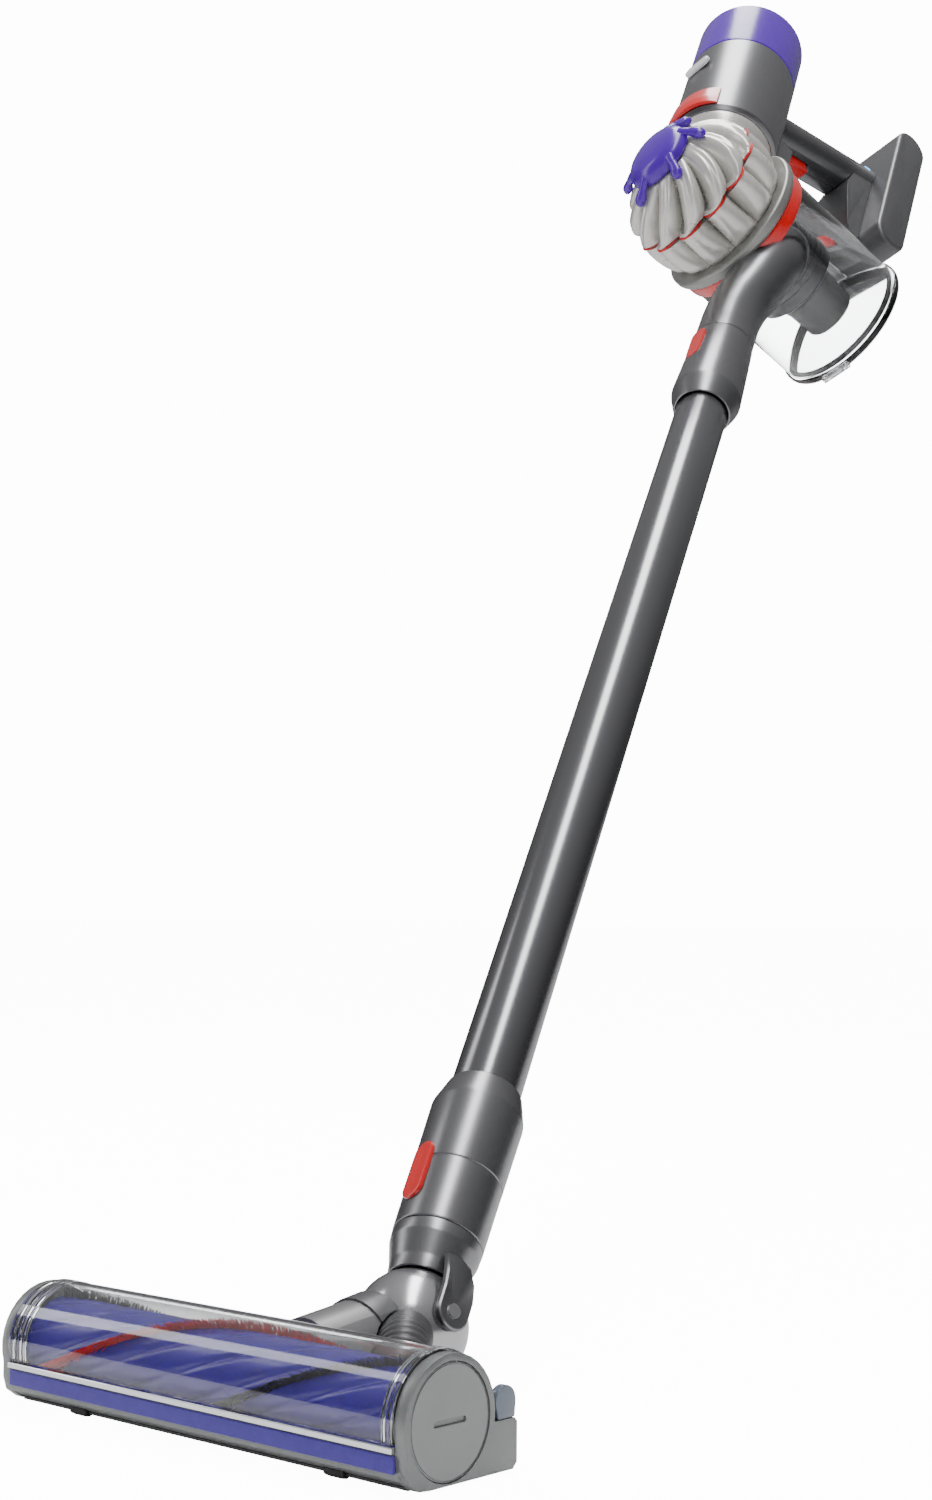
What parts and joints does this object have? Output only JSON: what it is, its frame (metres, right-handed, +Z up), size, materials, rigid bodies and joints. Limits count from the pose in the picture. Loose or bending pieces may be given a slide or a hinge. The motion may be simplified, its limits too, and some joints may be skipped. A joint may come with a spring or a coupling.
{
  "type": "cordless stick vacuum",
  "caption": "Stick vacuum with a motorised brush head, a two-axis ball neck, a straight wand and a pistol-grip cyclone unit with a clear bin.",
  "frame": {"origin": "centre of the floor head's flat sole, on its underside behind the suction mouth", "axes": "+X along the floor head towards its locking end cap, -Y forward out of the head's front, +Z up; the wheels reach 1.5 mm below the sole"},
  "size_m": [0.4806, 1.0254, 0.9528],
  "materials": {
    "tube_metal": "satin anodised",
    "gunmetal": "metallic satin",
    "dark_grey": "fine texture",
    "mid_grey": "satin",
    "light_grey": "pearl satin",
    "polished": "polished metallic",
    "steel": "turned",
    "motor_metal": "bare",
    "impeller_metal": "bare",
    "clear": "clear",
    "smoke": "smoked clear",
    "red": "gloss",
    "purple": "tinted translucent gloss",
    "indigo": "satin",
    "felt": "felt",
    "red_fibre": "nylon filaments",
    "black_fibre": "carbon-fibre filaments",
    "black_rubber": "matt",
    "filter": "pleated"
  },
  "bodies": {
    "handset": {"inlet_socket": "gunmetal", "inlet_duct": "gunmetal", "clear_bin": "clear", "red_bin_ring": "red", "shroud": "dark_grey", "lid_hinge_pin": "steel", "cyclone_band": "light_grey", "cyclone_lower_tier": "light_grey", "cyclone_gasket": "red", "cyclone_upper_tier": "light_grey", "motor_housing": "gunmetal", "motor_can": "motor_metal", "body_spine": "gunmetal", "grip_shell_near": "gunmetal", "grip_shell_far": "gunmetal", "battery_foot": "dark_grey", "status_lens": "clear"},
    "wand": {"wand_tube": "tube_metal", "wand_top_plug": "dark_grey", "wand_foot_collar": "gunmetal"},
    "neck": {"neck_cone": "gunmetal", "pitch_pin_near": "steel", "pitch_pin_far": "steel"},
    "knuckle": {"knuckle_ball": "polished", "knuckle_collar": "dark_grey", "suction_hose": "dark_grey"},
    "head": {"head_chassis": "mid_grey", "sole_plate": "dark_grey", "clear_cover": "clear", "cover_rail": "polished", "front_felt": "felt", "rear_window": "smoke", "brush_motor": "motor_metal", "brush_bearing": "steel", "hose_port": "dark_grey", "swivel_stub": "mid_grey"},
    "brush": {"brush_tube": "indigo", "brush_plug": "dark_grey", "red_bristles": "red_fibre", "black_bristles_a": "black_fibre", "black_bristles_b": "black_fibre"},
    "end_cap": {"end_cap": "mid_grey"},
    "front_wheel_left": {"front_wheel_left": "black_rubber"},
    "front_wheel_right": {"front_wheel_right": "black_rubber"},
    "rear_wheel_left": {"rear_wheel_left": "black_rubber"},
    "rear_wheel_right": {"rear_wheel_right": "black_rubber"},
    "foot_button": {"foot_release_button": "red"},
    "top_button": {"top_release_button": "red"},
    "bin_lid": {"bin_lid": "clear", "lid_seal": "black_rubber"},
    "bin_release": {"bin_release_slider": "red"},
    "prefilter": {"prefilter_cap": "purple", "prefilter_core": "filter"},
    "exhaust": {"exhaust_cap": "purple", "exhaust_filter": "filter"},
    "impeller": {"impeller": "impeller_metal"},
    "mode_switch": {"mode_switch": "light_grey"},
    "trigger": {"trigger": "red"},
    "battery": {"battery_pack": "dark_grey"},
    "battery_latch": {"battery_latch": "red"}
  },
  "joints": [
    {"name": "wand_pull", "type": "slide", "parent": "handset", "child": "wand", "axis": [0.251, -0.6518, -0.7156], "range_m": [0, 0.058]},
    {"name": "head_pull", "type": "slide", "parent": "wand", "child": "neck", "axis": [0.251, -0.6518, -0.7156], "range_m": [0, 0.045]},
    {"name": "neck_pitch", "type": "hinge", "parent": "neck", "child": "knuckle", "pos_m": [0.0018, 0.0781, 0.031], "axis": [0.9287, -0.0463, 0.3679], "range_deg": [-38, 48]},
    {"name": "head_swivel", "type": "hinge", "parent": "knuckle", "child": "head", "pos_m": [0.0018, 0.0781, 0.031], "axis": [0, 0.9922, 0.1247], "range_deg": [-80, 38], "deforming": ["suction_hose"]},
    {"name": "brush_spin", "type": "hinge", "parent": "head", "child": "brush", "pos_m": [0, -0.031, 0.0243], "axis": [1, 0, 0], "continuous": true},
    {"name": "end_cap_lock", "type": "hinge", "parent": "head", "child": "end_cap", "pos_m": [0.12, -0.031, 0.0243], "axis": [1, 0, 0], "range_deg": [0, 45]},
    {"name": "front_wheel_left_spin", "type": "hinge", "parent": "head", "child": "front_wheel_left", "pos_m": [-0.079, -0.048, 0.0011], "axis": [1, 0, 0], "continuous": true},
    {"name": "front_wheel_right_spin", "type": "hinge", "parent": "head", "child": "front_wheel_right", "pos_m": [0.08, -0.048, 0.0011], "axis": [1, 0, 0], "continuous": true},
    {"name": "rear_wheel_left_spin", "type": "hinge", "parent": "head", "child": "rear_wheel_left", "pos_m": [-0.098, 0.0008, 0.0045], "axis": [1, 0, 0], "continuous": true},
    {"name": "rear_wheel_right_spin", "type": "hinge", "parent": "head", "child": "rear_wheel_right", "pos_m": [0.098, 0.0008, 0.0045], "axis": [1, 0, 0], "continuous": true},
    {"name": "foot_button_press", "type": "slide", "parent": "wand", "child": "foot_button", "axis": [0.2729, 0.7569, -0.5938], "range_m": [0, 0.002], "stiffness_N_per_m": 400, "springref_m": -0.004},
    {"name": "top_button_press", "type": "slide", "parent": "handset", "child": "top_button", "axis": [0.2729, 0.7569, -0.5938], "range_m": [0, 0.0014], "stiffness_N_per_m": 400, "springref_m": -0.004},
    {"name": "bin_lid_hinge", "type": "hinge", "parent": "handset", "child": "bin_lid", "pos_m": [-0.20281, 0.76237, 0.63352], "axis": [-0.9287, 0.0463, -0.3679], "range_deg": [0, 85]},
    {"name": "bin_release_slide", "type": "slide", "parent": "handset", "child": "bin_release", "axis": [0.2609, -0.6237, -0.7369], "range_m": [0, 0.008], "stiffness_N_per_m": 250, "springref_m": -0.008},
    {"name": "trigger_pull", "type": "slide", "parent": "handset", "child": "trigger", "axis": [-0.3519, 0.2031, 0.9137], "range_m": [0, 0.003], "stiffness_N_per_m": 500, "springref_m": -0.004},
    {"name": "prefilter_pull", "type": "slide", "parent": "handset", "child": "prefilter", "axis": [-0.2334, -0.8439, 0.4831], "range_m": [0, 0.06]},
    {"name": "exhaust_twist", "type": "hinge", "parent": "handset", "child": "exhaust", "pos_m": [-0.29987, 0.77539, 0.88014], "axis": [-0.2609, 0.6237, 0.7369], "range_deg": [0, 30]},
    {"name": "impeller_spin", "type": "hinge", "parent": "handset", "child": "impeller", "pos_m": [-0.29987, 0.77539, 0.88014], "axis": [-0.2609, 0.6237, 0.7369], "continuous": true},
    {"name": "mode_switch_slide", "type": "slide", "parent": "handset", "child": "mode_switch", "axis": [0.9287, -0.0463, 0.3679], "range_m": [-0.004, 0.004]},
    {"name": "battery_slide", "type": "slide", "parent": "handset", "child": "battery", "axis": [0.2729, 0.7569, -0.5938], "range_m": [0, 0.05]},
    {"name": "battery_latch_press", "type": "slide", "parent": "handset", "child": "battery_latch", "axis": [0.0625, 0.9975, -0.0323], "range_m": [0, 0.002], "stiffness_N_per_m": 400, "springref_m": -0.004}
  ]
}
